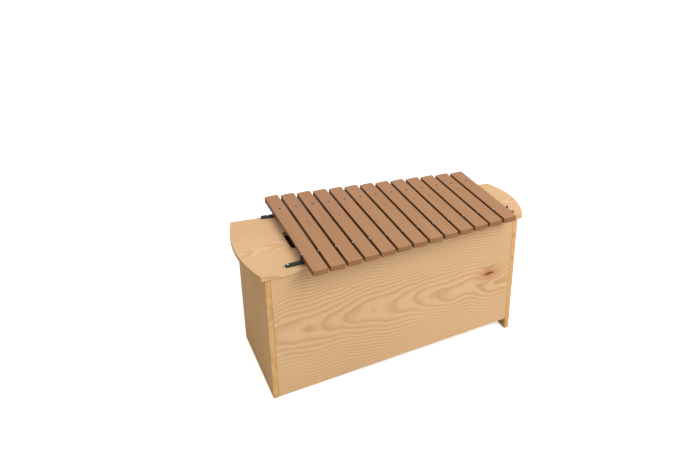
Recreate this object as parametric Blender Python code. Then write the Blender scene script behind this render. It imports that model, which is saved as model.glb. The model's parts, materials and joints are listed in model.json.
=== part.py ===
"""Bass xylophone: thirteen loose bars on a box resonator with a slanted back.

Metres, +Z up. Every piece is placed in the box's own frame: x runs right from the left wall's outer
face, y runs back from the front of the walls, z runs up from the floor. An empty then moves the whole
instrument so that the middle of its footprint lies on the world origin.
"""

import math

import bmesh
import bpy

# Room left between pieces that touch
FIT = 0.0003

# Resonator box
BOX_HEIGHT = 0.430
LEFT_DEPTH = 0.318
RIGHT_DEPTH = 0.216
WALL_THICKNESS = 0.016
PANEL_THICKNESS = 0.010
BOTTOM_THICKNESS = 0.008
DIVIDER_THICKNESS = 0.008
LEFT_UNDERSIDE = 0.0015
RIGHT_UNDERSIDE = 0.042

# Top boards: a plate at each end, a rail along the front and one along the back
TOP_THICKNESS = 0.015
RAIL_WIDTH = 0.040
FRONT_OVERHANG = 0.0045
BACK_OVERHANG = 0.009
PLATE_LAP = 0.0145
LEFT_END_FRONT = 0.010
LEFT_END_BACK = 0.013
LEFT_BOW = 0.0315
RIGHT_END_FRONT = 0.0125
RIGHT_END_BACK = 0.024
RIGHT_BOW = 0.029
BOW_SEGMENTS = 12

# Resonance slot in the left plate, under the first bar
SLOT_LENGTH = 0.067
SLOT_DEPTH = 0.100
SLOT_FRONT = 0.103
SLOT_LEAD = 0.0045
SLOT_RADIUS = 0.010

# Bars
BAR_COUNT = 13
BAR_WIDTH = 0.0454
BAR_GAP = 0.0075
BAR_THICKNESS = 0.018
LONGEST_BAR = 0.471
SHORTEST_BAR = 0.342
LONGEST_OVERHANG = 0.089
SHORTEST_OVERHANG = 0.060
LEFT_MARGIN = 0.1187
RIGHT_MARGIN = 0.0375
LONGEST_BAR_WAIST = 0.006
SHORTEST_BAR_WAIST = 0.0105
ARCH_MARGIN = 0.026
BAR_CORNER = 0.0035
BAR_CROWN = 0.0015
BAR_TIP_SHARE = 0.35
UPPER_ROUND = 0.0015
LOWER_ROUND = 0.0015
LOWER_ROUND_SHARE = 0.3
ROUND_MIDDLE = 0.3
BAR_HOLE_RADIUS = 0.0035

# Support strips, their sleeves, pins and end screws
FRONT_LINE = 0.0163
REAR_LINE_INSET = 0.007
STRIP_WIDTH = 0.0105
STRIP_HEIGHT = 0.0076
FRONT_LEFT_TAIL = 0.048
FRONT_RIGHT_TAIL = 0.025
REAR_LEFT_TAIL = 0.061
REAR_RIGHT_TAIL = 0.0395
FRONT_SCREW_INSET = 0.007
REAR_LEFT_SCREW_INSET = 0.022
REAR_RIGHT_SCREW_INSET = 0.007
PIN_RADIUS = 0.0015
PIN_TIP_SHARE = 0.6
PIN_DEPTH = 0.010
FRONT_SLEEVE_RADIUS = 0.0034
REAR_SLEEVE_RADIUS = 0.00275
FRONT_SLEEVE_ABOVE_BAR = 0.002
REAR_SLEEVE_BELOW_BAR_TOP = 0.001
FRONT_PIN_ABOVE_BAR = 0.006
REAR_PIN_ABOVE_BAR = 0.001
SCREW_HEAD_RADIUS = 0.0033
SCREW_HEAD_HEIGHT = 0.0024
SCREW_DEPTH = 0.009

# Facets of the small round pieces
PIN_SIDES = 10
HOLE_SIDES = 12

# Note letters of the diatonic row, from the longest bar
NOTES = "cdefgab"

# Sizes that follow from those above
BAR_PITCH = BAR_WIDTH + BAR_GAP
BAR_ROW = BAR_COUNT * BAR_WIDTH + (BAR_COUNT - 1) * BAR_GAP
BOX_LENGTH = LEFT_MARGIN + BAR_ROW + RIGHT_MARGIN
BACK_SLOPE = (LEFT_DEPTH - RIGHT_DEPTH) / BOX_LENGTH
PANEL_ALONG_Y = PANEL_THICKNESS * math.hypot(1.0, BACK_SLOPE)
TOP_UNDERSIDE = BOX_HEIGHT + FIT
TOP_FACE = TOP_UNDERSIDE + TOP_THICKNESS
STRIP_BASE = TOP_FACE + FIT
STRIP_TOP = STRIP_BASE + STRIP_HEIGHT
BAR_UNDERSIDE = STRIP_TOP + FIT
BAR_TOP = BAR_UNDERSIDE + BAR_THICKNESS


def back_of_box(x):
    return LEFT_DEPTH - BACK_SLOPE * x


def back_of_top(x):
    return back_of_box(x) + BACK_OVERHANG


def rear_line(x):
    """Middle of the rear strip, which runs parallel to the slanted back."""
    return back_of_top(x) - REAR_LINE_INSET


def underside(x):
    """Height of the box's sloping underside above the floor."""
    share = (x - WALL_THICKNESS) / (BOX_LENGTH - 2 * WALL_THICKNESS)
    return LEFT_UNDERSIDE + (RIGHT_UNDERSIDE - LEFT_UNDERSIDE) * share


def bar_centre(index):
    return LEFT_MARGIN + BAR_WIDTH / 2 + index * BAR_PITCH


def bar_length(index):
    return LONGEST_BAR + (SHORTEST_BAR - LONGEST_BAR) * index / (BAR_COUNT - 1)


def bar_near_end(index):
    overhang = LONGEST_OVERHANG + (SHORTEST_OVERHANG - LONGEST_OVERHANG) * index / (BAR_COUNT - 1)
    return FRONT_LINE - overhang


def front_pin_x(index):
    """Front pins stand in the gaps between the bars, and outside the first and the last bar."""
    return LEFT_MARGIN - BAR_GAP / 2 + index * BAR_PITCH


LEFT_PLATE_EDGE = bar_centre(1) + PLATE_LAP
RIGHT_PLATE_EDGE = bar_centre(BAR_COUNT - 1) - PLATE_LAP


def material(name, colour, roughness, metallic=0.0):
    made = bpy.data.materials.new(name)
    made.use_nodes = True
    shader = made.node_tree.nodes["Principled BSDF"]
    shader.inputs["Base Color"].default_value = (*colour, 1.0)
    shader.inputs["Roughness"].default_value = roughness
    shader.inputs["Metallic"].default_value = metallic
    made.diffuse_color = (*colour, 1.0)
    return made


def add_object(name, mesh, parent, location=(0.0, 0.0, 0.0), finish=None):
    if finish:
        mesh.materials.append(finish)
    made = bpy.data.objects.new(name, mesh)
    bpy.context.scene.collection.objects.link(made)
    made.parent = parent
    made.location = location
    return made


def mesh_through(name, stacks, cap=None):
    """Closed bodies, each through a stack of rings that run anticlockwise seen from above, lowest first."""
    shape = bmesh.new()
    for rings in stacks:
        loops = [[shape.verts.new(point) for point in ring] for ring in rings]
        for lower, upper in zip(loops, loops[1:]):
            for i in range(len(lower)):
                j = (i + 1) % len(lower)
                shape.faces.new((lower[i], lower[j], upper[j], upper[i]))
        if cap:
            cap(shape, loops[0], loops[-1])
        else:
            shape.faces.new(reversed(loops[0]))
            shape.faces.new(loops[-1])
    mesh = bpy.data.meshes.new(name)
    shape.to_mesh(mesh)
    shape.free()
    return mesh


def smooth(mesh, degrees):
    mesh.shade_smooth()
    mesh.set_sharp_from_angle(angle=math.radians(degrees))


def ring(radius, z, sides, centre=(0.0, 0.0)):
    turns = [2 * math.pi * i / sides for i in range(sides)]
    return [(centre[0] + radius * math.cos(a), centre[1] + radius * math.sin(a), z) for a in turns]


def board(name, plan, low, high, parent, finish):
    """An upright-sided board over a plan outline. low and high are heights, or functions of x."""
    low_at = low if callable(low) else lambda x: low
    high_at = high if callable(high) else lambda x: high
    lower = [(x, y, low_at(x)) for x, y in plan]
    upper = [(x, y, high_at(x)) for x, y in plan]
    return add_object(name, mesh_through(name, [[lower, upper]]), parent, finish=finish)


def strip_between(x0, x1, front, back):
    """Plan of a four-sided board between two x positions, with front and back given as functions of x."""
    return [(x0, front(x0)), (x1, front(x1)), (x1, back(x1)), (x0, back(x0))]


def bow(start, end, rise):
    """Points of a shallow arc from start to end, which swells to the right of that direction."""
    along = (end[0] - start[0], end[1] - start[1])
    chord = math.hypot(*along)
    unit = (along[0] / chord, along[1] / chord)
    outward = (unit[1], -unit[0])
    radius = (chord * chord / 4 + rise * rise) / (2 * rise)
    half_angle = math.asin(chord / 2 / radius)
    points = []
    for i in range(BOW_SEGMENTS + 1):
        angle = half_angle * (2 * i / BOW_SEGMENTS - 1)
        run = chord / 2 + radius * math.sin(angle)
        out = radius * math.cos(angle) - (radius - rise)
        points.append((start[0] + unit[0] * run + outward[0] * out, start[1] + unit[1] * run + outward[1] * out))
    return points


def rounded_plan(x0, x1, y0, y1, radius, segments=4):
    """Rectangle with round corners, anticlockwise."""
    points = []
    for corner, (cx, cy) in enumerate(
        ((x1 - radius, y0 + radius), (x1 - radius, y1 - radius), (x0 + radius, y1 - radius), (x0 + radius, y0 + radius))
    ):
        for i in range(segments + 1):
            angle = math.pi / 2 * (corner - 1 + i / segments)
            points.append((cx + radius * math.cos(angle), cy + radius * math.sin(angle)))
    return points


def cutter(name, stacks, parent):
    made = add_object(name, mesh_through(name, stacks), parent)
    made.hide_render = True
    made.display_type = "WIRE"
    return made


def round_cutter(name, centres, radius, low, high, sides, parent):
    """One cutter with an upright cylinder at each of the centres."""
    return cutter(name, [[ring(radius, low, sides, c), ring(radius, high, sides, c)] for c in centres], parent)


def combine(target, other, operation):
    modifier = target.modifiers.new(other.name, "BOOLEAN")
    modifier.operation = operation
    modifier.solver = "EXACT"
    modifier.object = other


def make_box(parent, pine, plywood):
    left = strip_between(0.0, WALL_THICKNESS, lambda x: 0.0, back_of_box)
    board("left_wall", left, 0.0, BOX_HEIGHT, parent, pine)
    right = strip_between(BOX_LENGTH - WALL_THICKNESS, BOX_LENGTH, lambda x: 0.0, back_of_box)
    board("right_wall", right, 0.0, BOX_HEIGHT, parent, pine)

    inner_left = WALL_THICKNESS + FIT
    inner_right = BOX_LENGTH - WALL_THICKNESS - FIT
    front = strip_between(inner_left, inner_right, lambda x: 0.0, lambda x: PANEL_THICKNESS)
    board("front_panel", front, underside, BOX_HEIGHT, parent, pine)
    back = strip_between(inner_left, inner_right, lambda x: back_of_box(x) - PANEL_ALONG_Y, back_of_box)
    board("back_panel", back, underside, BOX_HEIGHT, parent, pine)

    def inside_front(x):
        return PANEL_THICKNESS + FIT

    def inside_back(x):
        return back_of_box(x) - PANEL_ALONG_Y - FIT

    def upper_side(x):
        return underside(x) + BOTTOM_THICKNESS

    floor = strip_between(inner_left, inner_right, inside_front, inside_back)
    board("bottom_board", floor, underside, upper_side, parent, plywood)
    divider = strip_between(LEFT_PLATE_EDGE - DIVIDER_THICKNESS, LEFT_PLATE_EDGE, inside_front, inside_back)
    board("chamber_divider", divider, lambda x: upper_side(x) + FIT, BOX_HEIGHT, parent, plywood)


def left_plate_plan():
    front_corner = (-LEFT_END_FRONT, -FRONT_OVERHANG)
    back_corner = (-LEFT_END_BACK, back_of_top(-LEFT_END_BACK))
    inner = [(LEFT_PLATE_EDGE, -FRONT_OVERHANG), (LEFT_PLATE_EDGE, back_of_top(LEFT_PLATE_EDGE))]
    return inner + bow(back_corner, front_corner, LEFT_BOW)


def right_plate_plan():
    front_x = BOX_LENGTH + RIGHT_END_FRONT
    back_x = BOX_LENGTH + RIGHT_END_BACK
    outer = bow((front_x, -FRONT_OVERHANG), (back_x, back_of_top(back_x)), RIGHT_BOW)
    return outer + [(RIGHT_PLATE_EDGE, back_of_top(RIGHT_PLATE_EDGE)), (RIGHT_PLATE_EDGE, -FRONT_OVERHANG)]


def front_pin_places():
    return [(front_pin_x(i), FRONT_LINE) for i in range(BAR_COUNT + 1)]


def rear_pin_places():
    return [(bar_centre(i), rear_line(bar_centre(i))) for i in range(BAR_COUNT)]


def strip_ends():
    """Name, the x of the left and right tip, and the x of the two end screws, for each strip."""
    front_left = front_pin_x(0) - FRONT_LEFT_TAIL
    front_right = front_pin_x(BAR_COUNT) + FRONT_RIGHT_TAIL
    rear_left = bar_centre(0) - REAR_LEFT_TAIL
    rear_right = bar_centre(BAR_COUNT - 1) + REAR_RIGHT_TAIL
    front_screws = (front_left + FRONT_SCREW_INSET, front_right - FRONT_SCREW_INSET)
    rear_screws = (rear_left + REAR_LEFT_SCREW_INSET, rear_right - REAR_RIGHT_SCREW_INSET)
    return {"front": (front_left, front_right, front_screws), "rear": (rear_left, rear_right, rear_screws)}


def strip_line(side, x):
    return FRONT_LINE if side == "front" else rear_line(x)


def screw_places():
    places = {}
    for side, (_, _, screws) in strip_ends().items():
        for end, x in zip(("left", "right"), screws):
            places[f"{side}_{end}_strip_screw"] = (x, strip_line(side, x))
    return places


def make_top(parent, pine):
    plates = [
        board("left_top_plate", left_plate_plan(), TOP_UNDERSIDE, TOP_FACE, parent, pine),
        board("right_top_plate", right_plate_plan(), TOP_UNDERSIDE, TOP_FACE, parent, pine),
    ]
    rail_left = LEFT_PLATE_EDGE + FIT
    rail_right = RIGHT_PLATE_EDGE - FIT
    front = strip_between(rail_left, rail_right, lambda x: -FRONT_OVERHANG, lambda x: RAIL_WIDTH - FRONT_OVERHANG)
    rear = strip_between(rail_left, rail_right, lambda x: back_of_top(x) - RAIL_WIDTH, back_of_top)
    front_boards = plates + [board("front_rail", front, TOP_UNDERSIDE, TOP_FACE, parent, pine)]
    rear_boards = plates + [board("rear_rail", rear, TOP_UNDERSIDE, TOP_FACE, parent, pine)]

    slot_left = LEFT_MARGIN - SLOT_LEAD
    slot = rounded_plan(slot_left, slot_left + SLOT_LENGTH, SLOT_FRONT, SLOT_FRONT + SLOT_DEPTH, SLOT_RADIUS)
    above = TOP_FACE + TOP_THICKNESS
    below = TOP_UNDERSIDE - TOP_THICKNESS
    stack = [[(x, y, below) for x, y in slot], [(x, y, above) for x, y in slot]]
    combine(plates[0], cutter("slot_cutter", [stack], parent), "DIFFERENCE")

    hole = PIN_RADIUS + FIT
    for side, places, boards in (("front", front_pin_places(), front_boards), ("rear", rear_pin_places(), rear_boards)):
        low = TOP_FACE - PIN_DEPTH - FIT
        holes = round_cutter(f"{side}_pin_hole_cutter", places, hole, low, above, PIN_SIDES, parent)
        for one in boards:
            combine(one, holes, "DIFFERENCE")
    low = TOP_FACE - SCREW_DEPTH - FIT
    holes = round_cutter("screw_hole_cutter", screw_places().values(), hole, low, above, PIN_SIDES, parent)
    for plate in plates:
        combine(plate, holes, "DIFFERENCE")


def make_strip(side, places, sleeve_radius, sleeve_top, parent, rubber):
    """A strip with round ends, and a sleeve standing on it round each pin."""
    left, right, screws = strip_ends()[side]
    half = STRIP_WIDTH / 2
    plan = []
    for centre, first in ((right - half, -90.0), (left + half, 90.0)):
        for i in range(7):
            angle = math.radians(first + 30.0 * i)
            x = centre + half * math.cos(angle)
            plan.append((x, strip_line(side, centre) + (strip_line(side, x) - strip_line(side, centre))
                         + half * math.sin(angle)))
    strip = board(f"{side}_support_strip", plan, STRIP_BASE, STRIP_TOP, parent, rubber)
    middle = (STRIP_BASE + STRIP_TOP) / 2
    sleeves = round_cutter(f"{side}_sleeves", places, sleeve_radius, middle, sleeve_top, HOLE_SIDES, parent)
    combine(strip, sleeves, "UNION")
    screw_centres = [(x, strip_line(side, x)) for x in screws]
    bore = PIN_RADIUS + FIT
    low = STRIP_BASE - STRIP_HEIGHT
    high = sleeve_top + STRIP_HEIGHT
    bores = round_cutter(f"{side}_bore_cutter", places + screw_centres, bore, low, high, PIN_SIDES, parent)
    combine(strip, bores, "DIFFERENCE")


def pin_mesh(top):
    """A pin from the bottom of its blind hole, with a slightly rounded tip. Its origin is on the top boards' face."""
    tip = PIN_TIP_SHARE * PIN_RADIUS
    rings = [
        ring(PIN_RADIUS, -PIN_DEPTH, PIN_SIDES),
        ring(PIN_RADIUS, top - tip, PIN_SIDES),
        ring(tip, top, PIN_SIDES),
    ]
    mesh = mesh_through("pin", [rings])
    smooth(mesh, 35)
    return mesh


def screw_mesh():
    """A round-head screw. Its origin is under its head."""
    shank = SCREW_DEPTH + STRIP_HEIGHT + 2 * FIT
    profile = (
        (0.4 * PIN_RADIUS, -shank),
        (PIN_RADIUS, -shank + 2 * PIN_RADIUS),
        (PIN_RADIUS, 0.0),
        (SCREW_HEAD_RADIUS, 0.0),
        (0.9 * SCREW_HEAD_RADIUS, 0.5 * SCREW_HEAD_HEIGHT),
        (0.5 * SCREW_HEAD_RADIUS, SCREW_HEAD_HEIGHT),
    )
    mesh = mesh_through("strip_screw", [[ring(radius, z, PIN_SIDES) for radius, z in profile]])
    smooth(mesh, 35)
    return mesh


def make_pins(parent, steel):
    for side, places, height in (
        ("front", front_pin_places(), BAR_TOP + FRONT_PIN_ABOVE_BAR - TOP_FACE),
        ("rear", rear_pin_places(), BAR_TOP + REAR_PIN_ABOVE_BAR - TOP_FACE),
    ):
        mesh = pin_mesh(height)
        mesh.materials.append(steel)
        for number, (x, y) in enumerate(places, 1):
            add_object(f"{side}_pin_{number:02d}", mesh, parent, (x, y, TOP_FACE))
    mesh = screw_mesh()
    mesh.materials.append(steel)
    for name, (x, y) in screw_places().items():
        add_object(name, mesh, parent, (x, y, STRIP_TOP + FIT))


def bar_end():
    """Half of a bar's end in plan, from its tip to its side: (distance from the tip, half width)."""
    half = BAR_WIDTH / 2
    start = half - BAR_CORNER
    tip = BAR_TIP_SHARE * half
    dip = BAR_CROWN * (start / half) ** 2
    points = [(BAR_CROWN * (tip / half) ** 2, tip)]
    for i in range(4):
        angle = math.radians(30.0 * i)
        points.append((dip + BAR_CORNER * (1 - math.cos(angle)), start + BAR_CORNER * math.sin(angle)))
    return points


def bar_mesh(index, name):
    """A bar about its rear pin's axis: round edges all along its outline, and an arch cut into its underside."""
    length = bar_length(index)
    near = bar_near_end(index)
    pin_y = rear_line(bar_centre(index))
    waist = LONGEST_BAR_WAIST + (SHORTEST_BAR_WAIST - LONGEST_BAR_WAIST) * index / (BAR_COUNT - 1)
    arch_start = FRONT_LINE + ARCH_MARGIN - near
    arch_end = pin_y - ARCH_MARGIN - near
    arch_middle = (arch_start + arch_end) / 2
    arch_half = (arch_end - arch_start) / 2

    def arch(along):
        share = min(1.0, abs(along - arch_middle) / arch_half)
        return (BAR_THICKNESS - waist) * (1 - share ** 4)

    end = bar_end()
    stations = list(end)
    for share in (-1.0, -0.9, -0.75, -0.5, 0.0, 0.5, 0.75, 0.9, 1.0):
        stations.append((arch_middle + share * arch_half, BAR_WIDTH / 2))
    stations += [(length - along, half) for along, half in reversed(end)]
    normals = []
    for i in range(len(stations)):
        before = stations[max(i - 1, 0)]
        after = stations[min(i + 1, len(stations) - 1)]
        run = after[0] - before[0]
        spread = after[1] - before[1]
        size = math.hypot(run, spread)
        normals.append((-spread / size, run / size))
    normals[0] = (-1.0, 0.0)
    normals[-1] = (1.0, 0.0)

    def layer(inset_share, height_share, from_top):
        """One ring: right side from near to far, then left side back again."""
        right = []
        for (along, half), (normal_y, normal_x) in zip(stations, normals):
            cut = arch(along)
            lower_round = min(LOWER_ROUND, LOWER_ROUND_SHARE * (BAR_THICKNESS - cut))
            inset = inset_share * (UPPER_ROUND if from_top else lower_round)
            height = BAR_THICKNESS - height_share * UPPER_ROUND if from_top else cut + height_share * lower_round
            y = along - inset * normal_y + near - pin_y
            right.append((half - inset * normal_x, y, height))
        return right + [(-x, y, z) for x, y, z in reversed(right)]

    layers = [
        layer(1.0, 0.0, False),
        layer(0.0, 1.0, False),
        layer(0.0, 1.0, True),
        layer(ROUND_MIDDLE, ROUND_MIDDLE, True),
        layer(1.0, 0.0, True),
    ]

    def cap(shape, lower, upper):
        count = len(lower)
        for i in range(count // 2 - 1):
            mirror = count - 1 - i
            shape.faces.new((lower[i + 1], lower[i], lower[mirror], lower[mirror - 1]))
            shape.faces.new((upper[i], upper[i + 1], upper[mirror - 1], upper[mirror]))

    mesh = mesh_through(name, [layers], cap)
    smooth(mesh, 50)
    return mesh


def make_bars(parent, hardwood):
    drill_mesh = mesh_through("bar_hole_cutter", [[
        ring(BAR_HOLE_RADIUS, -BAR_THICKNESS, HOLE_SIDES),
        ring(BAR_HOLE_RADIUS, 2 * BAR_THICKNESS, HOLE_SIDES),
    ]])
    for index in range(BAR_COUNT):
        name = f"bar_{index + 1:02d}_{NOTES[index % len(NOTES)]}"
        place = (bar_centre(index), rear_line(bar_centre(index)), BAR_UNDERSIDE)
        bar = add_object(name, bar_mesh(index, name), parent, place, hardwood)
        drill = add_object(f"{name}_hole_cutter", drill_mesh, parent, place)
        drill.hide_render = True
        drill.display_type = "WIRE"
        combine(bar, drill, "DIFFERENCE")


def footprint_middle():
    xs = [x for x, _ in left_plate_plan() + right_plate_plan()]
    ends = [bar_near_end(i) for i in range(BAR_COUNT)] + [bar_near_end(i) + bar_length(i) for i in range(BAR_COUNT)]
    crown = BAR_CROWN * BAR_TIP_SHARE ** 2
    return (min(xs) + max(xs)) / 2, (min(ends) + crown + max(ends) - crown) / 2


def main():
    for old in list(bpy.data.objects):
        bpy.data.objects.remove(old, do_unlink=True)
    pine = material("pine", (0.72, 0.50, 0.28), 0.45)
    plywood = material("plywood", (0.62, 0.45, 0.27), 0.6)
    hardwood = material("bar_wood", (0.50, 0.26, 0.12), 0.5)
    rubber = material("black_rubber", (0.02, 0.02, 0.02), 0.8)
    steel = material("pin_steel", (0.65, 0.64, 0.60), 0.3, 1.0)

    middle_x, middle_y = footprint_middle()
    frame = bpy.data.objects.new("instrument", None)
    bpy.context.scene.collection.objects.link(frame)
    frame.location = (-middle_x, -middle_y, 0.0)

    make_box(frame, pine, plywood)
    make_top(frame, pine)
    make_strip("front", front_pin_places(), FRONT_SLEEVE_RADIUS, BAR_TOP + FRONT_SLEEVE_ABOVE_BAR, frame, rubber)
    make_strip("rear", rear_pin_places(), REAR_SLEEVE_RADIUS, BAR_TOP - REAR_SLEEVE_BELOW_BAR_TOP, frame, rubber)
    make_pins(frame, steel)
    make_bars(frame, hardwood)


main()
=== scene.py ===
import json

import bpy
from mathutils import Matrix, Vector

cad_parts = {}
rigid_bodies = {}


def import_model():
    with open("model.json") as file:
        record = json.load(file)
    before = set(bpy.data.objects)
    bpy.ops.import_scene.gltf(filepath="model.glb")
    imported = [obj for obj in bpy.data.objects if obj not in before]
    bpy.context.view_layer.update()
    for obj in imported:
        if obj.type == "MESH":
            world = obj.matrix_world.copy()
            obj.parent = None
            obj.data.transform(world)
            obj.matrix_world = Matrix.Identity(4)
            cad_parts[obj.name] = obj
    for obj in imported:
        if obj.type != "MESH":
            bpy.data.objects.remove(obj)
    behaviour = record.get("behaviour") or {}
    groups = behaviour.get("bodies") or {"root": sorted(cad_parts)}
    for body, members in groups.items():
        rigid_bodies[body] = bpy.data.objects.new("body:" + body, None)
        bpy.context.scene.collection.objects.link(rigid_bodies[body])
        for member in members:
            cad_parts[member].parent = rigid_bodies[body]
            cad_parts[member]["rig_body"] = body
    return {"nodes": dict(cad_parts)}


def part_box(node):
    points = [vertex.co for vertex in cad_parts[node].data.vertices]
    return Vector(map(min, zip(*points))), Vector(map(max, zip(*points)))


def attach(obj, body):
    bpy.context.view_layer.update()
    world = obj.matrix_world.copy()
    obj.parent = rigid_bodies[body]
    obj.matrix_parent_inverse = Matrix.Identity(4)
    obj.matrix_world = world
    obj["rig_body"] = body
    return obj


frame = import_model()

# Axis numbers of the row frame
X = 0
Y = 1
Z = 2

# Camera fitted to the photograph
CAMERA_PLACE = (-0.8391, -1.8550, 1.6235)
CAMERA_RIGHT = (0.91754, -0.39754, -0.00941)
CAMERA_UP = (0.17593, 0.38460, 0.90617)
CAMERA_BACK = (-0.35661, -0.83310, 0.42282)
CAMERA_LENS = 38.118
CAMERA_SENSOR = 36.0
CAMERA_SHIFT = (-0.0202, -0.1130)

# Light
WHITE = (1.0, 1.0, 1.0, 1.0)
SKY = 0.70
BACKDROP = 1.0
KEY_TARGET = Vector((0.0, 0.0, 0.30))
KEY_TOWARDS = Vector((0.36, -0.61, 0.71))
KEY_DISTANCE = 4.0
KEY_SIZE = 2.2
KEY_WATTS = 120.0

# Floor, seen by the camera as nearly white and by the object as a pale grey
FLOOR_HALF = 20.0
FLOOR_DROP = 0.0005
FLOOR_SEEN = 0.90
FLOOR_BOUNCE = 0.50
FLOOR_GLOW = 0.60

# Share of a face's normal on an axis from which it counts as facing it, and how fast it gets there
FACING_START = 0.6
FACING_GAIN = 4.0

# Board colours, linear: light, middle and dark wood of a ring
PINE = ((0.720, 0.475, 0.265), (0.680, 0.435, 0.230), (0.570, 0.320, 0.135))
WALL_PINE = ((0.700, 0.420, 0.180), (0.660, 0.385, 0.155), (0.560, 0.300, 0.105))
PLYWOOD = ((0.56, 0.38, 0.220), (0.52, 0.34, 0.190), (0.43, 0.26, 0.130))
KNOT = (0.18, 0.065, 0.030)
KNOT_HALO = (0.52, 0.220, 0.085)
END_GRAIN = (0.90, 0.82, 0.70)

# Board noises: scale along, across and into a board per metre, and detail
WANDER = ((4.5, 0.6, 0.6), 1.0)
WARP = ((7.0, 9.0, 9.0), 2.0)
CALM = ((3.0, 9.0, 9.0), 2.0)
FIBRE = ((18.0, 900.0, 900.0), 2.0)
TONE = ((1.5, 5.0, 5.0), 2.0)

# Rings of a flat-sawn board: spacing, wander and warp in metres, and where a ring's colours lie in it
RING_SPACING = 0.0088
RING_WANDER = 0.060
RING_WARP = 0.024
RING_MIDDLE = 0.4
RING_DARK = 0.8

# Calm patches, where the rings fade
CALM_GAIN = 1.2
CALM_LEVEL = 0.20

# Knots: how far they push the rings in metres, how much of a knot's size the halo keeps, and its strength
KNOT_PUSH = 0.016
HALO_ALONG = 0.50
HALO_ACROSS = 0.22
HALO_STRENGTH = 0.85

# Board surface
FIBRE_CONTRAST = 0.16
TONE_CONTRAST = 0.22
RING_RELIEF = 0.2
BOARD_BUMP = (0.12, 0.0004)
BOARD_ROUGHNESS = 0.50
BOARD_ROUGHNESS_SPREAD = 0.15
BOARD_SPECULAR = 0.22

# Boards: axis along the grain, across and into the face, then the pith's place and lean, and the colours
BOARDS = {
    "left_wall": (Z, Y, X, 0.70, -0.300, 0.05, WALL_PINE),
    "right_wall": (Z, Y, X, 0.60, 0.300, -0.05, WALL_PINE),
    "front_panel": (X, Z, Y, 0.22, -0.065, 0.08, PINE),
    "back_panel": (X, Z, Y, 0.24, 0.030, -0.07, PINE),
    "left_top_plate": (X, Y, Z, -0.03, 0.360, 0.10, PINE),
    "right_top_plate": (X, Y, Z, -0.07, 0.365, -0.12, PINE),
    "front_rail": (X, Y, Z, -0.16, 0.380, 0.03, PINE),
    "rear_rail": (X, Y, Z, 0.14, 0.380, -0.03, PINE),
    "bottom_board": (X, Y, Z, 0.00, -0.060, 0.04, PLYWOOD),
    "chamber_divider": (Z, Y, X, 0.00, -0.300, 0.04, PLYWOOD),
}
# Knots: place along and across the board, half length and half width
KNOTS = {
    "front_panel": [(0.3207, 0.2474, 0.0190, 0.0055)],
}

# Eased edges of the box's boards
EASED_BOARDS = ("left_wall", "right_wall", "front_panel", "back_panel")
EASE = 0.0012
EASE_SEGMENTS = 2
EASE_ANGLE = 0.6
WELD_REACH = 0.00001

# Bar colours, linear, what the ends are multiplied by, and the painted shade that the sides are
# multiplied by, standing in for the shade in the gaps between bars
BAR_LIGHT = (0.425, 0.218, 0.108)
BAR_DARK = (0.365, 0.172, 0.078)
BAR_END = (0.72, 0.66, 0.60)
BAR_SIDE_PAINTED_SHADE = (0.50, 0.42, 0.36)

# Bar noises: scale on the row axes per metre, and detail
STREAK = ((240.0, 6.0, 240.0), 3.0)
PORES = ((1400.0, 60.0, 1400.0), 2.0)
CLOUD = ((22.0, 5.0, 22.0), 2.0)

# Bar tone: steps along the row for its chance part, then the share of each part and the level
BAR_PITCH = 0.0529
ROW_SHIFT = 0.5
STREAK_SHARE = 1.1
CLOUD_SHARE = 0.7
CHANCE_SHARE = 0.25
BAR_LEVEL = 0.45

# Bar surface
PORE_CONTRAST = 0.16
BAR_BUMP = (0.10, 0.0003)
BAR_ROUGHNESS = 0.46
BAR_ROUGHNESS_SPREAD = 0.2
BAR_SPECULAR = 0.25

# Plain finishes: low and high colour, speckles per metre, roughness and metallic
FINISHES = {
    "black_rubber": ((0.010, 0.010, 0.011), (0.030, 0.030, 0.032), 900.0, 0.62, 0.0),
    "pin_steel": ((0.66, 0.65, 0.61), (0.80, 0.79, 0.75), 1500.0, 0.30, 1.0),
    "rear_pin_steel": ((0.05, 0.05, 0.05), (0.12, 0.12, 0.11), 1500.0, 0.45, 1.0),
    "note_mark": ((0.110, 0.045, 0.020), (0.16, 0.07, 0.03), 1200.0, 0.6, 0.0),
}
SPECKLE_DETAIL = 3.0
SPECKLE_LOW = 0.25
SPECKLE_HIGH = 0.75
SPECKLE_BUMP = (0.15, 0.0002)
SPECKLE_ROUGHNESS_SPREAD = 0.2
STRIPS = ("front_support_strip", "rear_support_strip")

# Note letters, half sunk into the top of each bar
NOTES = "CDEFGABCDEFGA"
NOTE_SIZE = 0.012
NOTE_Y = 0.023
NOTE_PROUD = 0.00008


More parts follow.
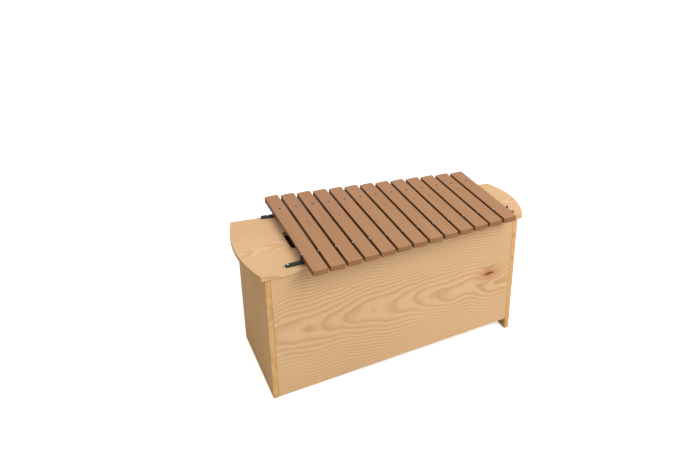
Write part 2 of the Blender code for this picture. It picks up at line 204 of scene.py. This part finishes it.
class Graph:
    """One material and short calls for its nodes."""

    def __init__(self, name):
        self.material = bpy.data.materials.new(name)
        self.material.use_nodes = True
        self.tree = self.material.node_tree
        self.tree.nodes.clear()
        self.shader = self.node("ShaderNodeBsdfPrincipled")
        output = self.node("ShaderNodeOutputMaterial")
        self.tree.links.new(self.shader.outputs["BSDF"], output.inputs["Surface"])

    def node(self, kind):
        return self.tree.nodes.new(kind)

    def feed(self, socket, value):
        """Gives a socket a value or another node's output."""
        if isinstance(value, bpy.types.NodeSocket):
            self.tree.links.new(value, socket)
        else:
            socket.default_value = value

    def math(self, operation, *values):
        made = self.node("ShaderNodeMath")
        made.operation = operation
        for socket, value in zip(made.inputs, values):
            self.feed(socket, value)
        return made.outputs[0]

    def times(self, first, second):
        return self.math("MULTIPLY", first, second)

    def total(self, *values):
        """The sum of several values."""
        added = values[0]
        for value in values[1:]:
            added = self.math("ADD", added, value)
        return added

    def noise(self, point, scale, detail):
        """Noise from -0.5 to 0.5, with a scale for each axis."""
        scaled = self.node("ShaderNodeVectorMath")
        scaled.operation = "MULTIPLY"
        self.feed(scaled.inputs[0], point)
        scaled.inputs[1].default_value = scale
        made = self.node("ShaderNodeTexNoise")
        self.feed(made.inputs["Vector"], scaled.outputs[0])
        made.inputs["Scale"].default_value = 1.0
        made.inputs["Detail"].default_value = detail
        return self.math("SUBTRACT", made.outputs[0], 0.5)

    def ramp(self, value, stops):
        made = self.node("ShaderNodeValToRGB")
        self.feed(made.inputs[0], value)
        elements = made.color_ramp.elements
        first, last = stops[0], stops[-1]
        elements[0].position = first[0]
        elements[0].color = (*first[1], 1.0)
        elements[-1].position = last[0]
        elements[-1].color = (*last[1], 1.0)
        for place, colour in stops[1:-1]:
            elements.new(place).color = (*colour, 1.0)
        return made.outputs[0]

    def mix(self, share, first, second, blend="MIX"):
        made = self.node("ShaderNodeMix")
        made.data_type = "RGBA"
        made.blend_type = blend
        self.feed(made.inputs[0], share)
        for socket, colour in ((made.inputs[6], first), (made.inputs[7], second)):
            self.feed(socket, (*colour, 1.0) if isinstance(colour, tuple) else colour)
        return made.outputs[2]

    def scale_colour(self, colour, factor):
        """A colour times one value."""
        made = self.node("ShaderNodeVectorMath")
        made.operation = "SCALE"
        self.feed(made.inputs[0], colour)
        self.feed(made.inputs["Scale"], factor)
        return made.outputs[0]

    def split(self, value):
        made = self.node("ShaderNodeSeparateXYZ")
        self.feed(made.inputs[0], value)
        return list(made.outputs)

    def facing(self, normal, axis):
        """1 on faces square to an axis and 0 on those along it."""
        part = self.math("ABSOLUTE", self.split(normal)[axis])
        steep = self.math("SUBTRACT", part, FACING_START)
        made = self.times(steep, FACING_GAIN)
        clamped = self.math("MINIMUM", made, 1.0)
        return self.math("MAXIMUM", clamped, 0.0)

    def relief(self, height, strength, distance):
        made = self.node("ShaderNodeBump")
        made.inputs["Strength"].default_value = strength
        made.inputs["Distance"].default_value = distance
        self.feed(made.inputs["Height"], height)
        self.feed(self.shader.inputs["Normal"], made.outputs["Normal"])

    def finish(self, colour, roughness, metallic=0.0, specular=0.5):
        self.feed(self.shader.inputs["Base Color"], colour)
        self.feed(self.shader.inputs["Roughness"], roughness)
        self.shader.inputs["Metallic"].default_value = metallic
        self.shader.inputs["Specular IOR Level"].default_value = specular
        return self.material


def on_axes(along, across, into, values):
    """A scale for each axis of the row frame, from those along, across and into the board."""
    made = [0.0, 0.0, 0.0]
    for axis, value in zip((along, across, into), values):
        made[axis] = value
    return tuple(made)


def add_knots(graph, place, along, across, radius, knots):
    """The radius with the rings pushed round each knot, and the shares of the knots' cores and halos."""
    cores = []
    halos = []
    for knot_along, knot_across, half_along, half_across in knots:
        u = graph.math("DIVIDE", graph.math("SUBTRACT", place[along], knot_along), half_along)
        v = graph.math("DIVIDE", graph.math("SUBTRACT", place[across], knot_across), half_across)
        near = graph.total(graph.times(u, u), graph.times(v, v))
        flat = graph.times(near, near)
        cores.append(graph.math("EXPONENT", graph.times(flat, -1.0)))
        wide_v = graph.times(v, HALO_ACROSS)
        wide_u = graph.times(u, HALO_ALONG)
        wide = graph.total(graph.times(wide_u, wide_u), graph.times(wide_v, wide_v))
        halo = graph.math("EXPONENT", graph.times(wide, -1.0))
        halos.append(halo)
        radius = graph.total(radius, graph.times(halo, KNOT_PUSH))
    return radius, cores, halos


def board_wood(name, along, across, into, pith_across, pith_into, lean, colours, knots):
    """Flat-sawn softwood: rings about a pith that leans towards the face."""
    graph = Graph(name)
    coordinates = graph.node("ShaderNodeTexCoord")
    point = coordinates.outputs["Object"]
    place = graph.split(point)

    def board_noise(scale, detail):
        return graph.noise(point, on_axes(along, across, into, scale), detail)

    wander = board_noise(*WANDER)
    warp = board_noise(*WARP)
    sideways = graph.total(place[across], -pith_across, graph.times(wander, RING_WANDER))
    inward = graph.total(place[into], -pith_into, graph.times(place[along], lean))
    squares = graph.total(graph.times(sideways, sideways), graph.times(inward, inward))
    radius = graph.total(graph.math("SQRT", squares), graph.times(warp, RING_WARP))
    radius, cores, halos = add_knots(graph, place, along, across, radius, knots)

    phase = graph.math("FRACT", graph.math("DIVIDE", radius, RING_SPACING))
    light, middle, dark = colours
    colour = graph.ramp(phase, [(0.0, light), (RING_MIDDLE, middle), (RING_DARK, dark), (1.0, light)])
    calm = board_noise(*CALM)
    share = graph.math("ADD", graph.times(calm, CALM_GAIN), CALM_LEVEL)
    colour = graph.mix(share, colour, middle)
    for halo in halos:
        colour = graph.mix(graph.times(halo, HALO_STRENGTH), colour, KNOT_HALO)
    for core in cores:
        colour = graph.mix(core, colour, KNOT)

    fibre = board_noise(*FIBRE)
    tone = board_noise(*TONE)
    brightness = graph.total(graph.times(fibre, FIBRE_CONTRAST), graph.times(tone, TONE_CONTRAST), 1.0)
    colour = graph.scale_colour(colour, brightness)
    ends = graph.facing(coordinates.outputs["Normal"], along)
    colour = graph.mix(ends, colour, END_GRAIN, "MULTIPLY")
    graph.relief(graph.total(graph.times(phase, RING_RELIEF), fibre), *BOARD_BUMP)
    roughness = graph.math("ADD", graph.times(fibre, BOARD_ROUGHNESS_SPREAD), BOARD_ROUGHNESS)
    return graph.finish(colour, roughness, specular=BOARD_SPECULAR)


def bar_wood():
    """Dense, even hardwood with fine streaks along each bar."""
    graph = Graph("bar_wood")
    coordinates = graph.node("ShaderNodeTexCoord")
    point = coordinates.outputs["Object"]
    place = graph.split(point)
    streak = graph.noise(point, *STREAK)
    pores = graph.noise(point, *PORES)
    cloud = graph.noise(point, *CLOUD)
    number = graph.math("FLOOR", graph.math("DIVIDE", graph.math("ADD", place[X], ROW_SHIFT), BAR_PITCH))
    chance = graph.node("ShaderNodeTexWhiteNoise")
    chance.noise_dimensions = "1D"
    graph.feed(chance.inputs["W"], number)
    own = graph.math("SUBTRACT", chance.outputs["Value"], 0.5)
    share = graph.total(
        graph.times(streak, STREAK_SHARE),
        graph.times(cloud, CLOUD_SHARE),
        graph.times(own, CHANCE_SHARE),
        BAR_LEVEL,
    )
    colour = graph.ramp(share, [(0.0, BAR_LIGHT), (1.0, BAR_DARK)])
    brightness = graph.math("ADD", graph.times(pores, PORE_CONTRAST), 1.0)
    colour = graph.scale_colour(colour, brightness)
    ends = graph.facing(coordinates.outputs["Normal"], Y)
    colour = graph.mix(ends, colour, BAR_END, "MULTIPLY")
    # Painted shade: faces square to the row axis, the bars' sides, are darkened to stand in for the shade
    # in the narrow gaps between bars
    painted_side_shade = graph.facing(coordinates.outputs["Normal"], X)
    colour = graph.mix(painted_side_shade, colour, BAR_SIDE_PAINTED_SHADE, "MULTIPLY")
    graph.relief(graph.total(pores, streak), *BAR_BUMP)
    roughness = graph.math("ADD", graph.times(pores, BAR_ROUGHNESS_SPREAD), BAR_ROUGHNESS)
    return graph.finish(colour, roughness, specular=BAR_SPECULAR)


def speckled(name, low, high, grain, roughness, metallic):
    """A plain finish broken up by fine noise."""
    graph = Graph(name)
    point = graph.node("ShaderNodeTexCoord").outputs["Object"]
    speckle = graph.noise(point, (grain, grain, grain), SPECKLE_DETAIL)
    colour = graph.ramp(graph.math("ADD", speckle, 0.5), [(SPECKLE_LOW, low), (SPECKLE_HIGH, high)])
    graph.relief(speckle, *SPECKLE_BUMP)
    spread = graph.math("ADD", graph.times(speckle, SPECKLE_ROUGHNESS_SPREAD), roughness)
    return graph.finish(colour, spread, metallic)


def paint(piece, material):
    piece.data.materials.clear()
    piece.data.materials.append(material)


def ease_edges(piece):
    """Rounds the board's sharp edges a little."""
    weld = piece.modifiers.new("weld", "WELD")
    weld.merge_threshold = WELD_REACH
    bevel = piece.modifiers.new("ease", "BEVEL")
    bevel.width = EASE
    bevel.segments = EASE_SEGMENTS
    bevel.limit_method = "ANGLE"
    bevel.angle_limit = EASE_ANGLE


def letter_mesh(letter):
    """A thin flat letter about its own middle."""
    curve = bpy.data.curves.new("letter", "FONT")
    curve.body = letter
    curve.size = NOTE_SIZE
    curve.extrude = NOTE_PROUD
    curve.align_x = "CENTER"
    curve.align_y = "CENTER"
    shape = bpy.data.objects.new("letter", curve)
    bpy.context.scene.collection.objects.link(shape)
    bpy.context.view_layer.update()
    depsgraph = bpy.context.evaluated_depsgraph_get()
    mesh = bpy.data.meshes.new_from_object(shape.evaluated_get(depsgraph))
    bpy.data.objects.remove(shape)
    return mesh


def mark_note(letter, bar, material):
    low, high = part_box(bar)
    mark = bpy.data.objects.new("note_on_" + bar, letter_mesh(letter))
    bpy.context.scene.collection.objects.link(mark)
    mark.location = ((low.x + high.x) / 2, NOTE_Y, high.z)
    paint(mark, material)
    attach(mark, frame["nodes"][bar]["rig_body"])


def finish_pieces():
    """Gives every node of the frame its material, and every bar its note."""
    bars = sorted(name for name in frame["nodes"] if name.startswith("bar_"))
    plain = {name: speckled(name, *values) for name, values in FINISHES.items()}
    hardwood = bar_wood()
    for name, node in frame["nodes"].items():
        if name in BOARDS:
            paint(node, board_wood(name, *BOARDS[name], KNOTS.get(name, [])))
        elif name in bars:
            paint(node, hardwood)
        elif name in STRIPS:
            paint(node, plain["black_rubber"])
        elif name.startswith("rear_pin_"):
            paint(node, plain["rear_pin_steel"])
        else:
            paint(node, plain["pin_steel"])
    for name in EASED_BOARDS:
        ease_edges(frame["nodes"][name])
    for letter, bar in zip(NOTES, bars):
        mark_note(letter, bar, plain["note_mark"])


def add_floor():
    """A wide pale floor that keeps the object's shadow."""
    mesh = bpy.data.meshes.new("floor")
    half = FLOOR_HALF
    corners = [(-half, -half, 0.0), (half, -half, 0.0), (half, half, 0.0), (-half, half, 0.0)]
    mesh.from_pydata(corners, [], [(0, 1, 2, 3)])
    floor = bpy.data.objects.new("floor", mesh)
    floor.location.z = -FLOOR_DROP
    bpy.context.scene.collection.objects.link(floor)
    graph = Graph("floor")
    seen = graph.node("ShaderNodeLightPath").outputs["Is Camera Ray"]
    bounce = (FLOOR_BOUNCE, FLOOR_BOUNCE, FLOOR_BOUNCE)
    white = (FLOOR_SEEN, FLOOR_SEEN, FLOOR_SEEN)
    graph.finish(graph.mix(seen, bounce, white), 1.0, specular=0.0)
    graph.shader.inputs["Emission Color"].default_value = WHITE
    graph.feed(graph.shader.inputs["Emission Strength"], graph.times(seen, FLOOR_GLOW))
    paint(floor, graph.material)


def add_sky():
    """An even white surround, brighter to the camera than to the object."""
    world = bpy.data.worlds.new("studio")
    bpy.context.scene.world = world
    world.use_nodes = True
    tree = world.node_tree
    tree.nodes.clear()
    background = tree.nodes.new("ShaderNodeBackground")
    background.inputs["Color"].default_value = WHITE
    output = tree.nodes.new("ShaderNodeOutputWorld")
    tree.links.new(background.outputs["Background"], output.inputs["Surface"])
    path = tree.nodes.new("ShaderNodeLightPath")
    strength = tree.nodes.new("ShaderNodeMath")
    strength.operation = "MULTIPLY_ADD"
    tree.links.new(path.outputs["Is Camera Ray"], strength.inputs[0])
    strength.inputs[1].default_value = BACKDROP - SKY
    strength.inputs[2].default_value = SKY
    tree.links.new(strength.outputs[0], background.inputs["Strength"])


def add_key():
    """One large soft light above the player's side, towards the short bars."""
    lamp = bpy.data.lights.new("key", "AREA")
    lamp.shape = "SQUARE"
    lamp.size = KEY_SIZE
    lamp.energy = KEY_WATTS
    key = bpy.data.objects.new("key", lamp)
    towards = KEY_TOWARDS.normalized()
    key.location = KEY_TARGET + towards * KEY_DISTANCE
    key.rotation_mode = "QUATERNION"
    key.rotation_quaternion = (-towards).to_track_quat("-Z", "Y")
    bpy.context.scene.collection.objects.link(key)


def add_camera():
    lens = bpy.data.cameras.new("camera")
    lens.sensor_width = CAMERA_SENSOR
    lens.lens = CAMERA_LENS
    lens.shift_x, lens.shift_y = CAMERA_SHIFT
    camera = bpy.data.objects.new("camera", lens)
    turn = Matrix((CAMERA_RIGHT, CAMERA_UP, CAMERA_BACK)).transposed().to_4x4()
    camera.matrix_world = Matrix.Translation(CAMERA_PLACE) @ turn
    bpy.context.scene.collection.objects.link(camera)
    bpy.context.scene.camera = camera


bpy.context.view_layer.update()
finish_pieces()
add_floor()
add_sky()
add_key()
add_camera()
bpy.context.scene.view_settings.view_transform = "Standard"
bpy.context.view_layer.update()
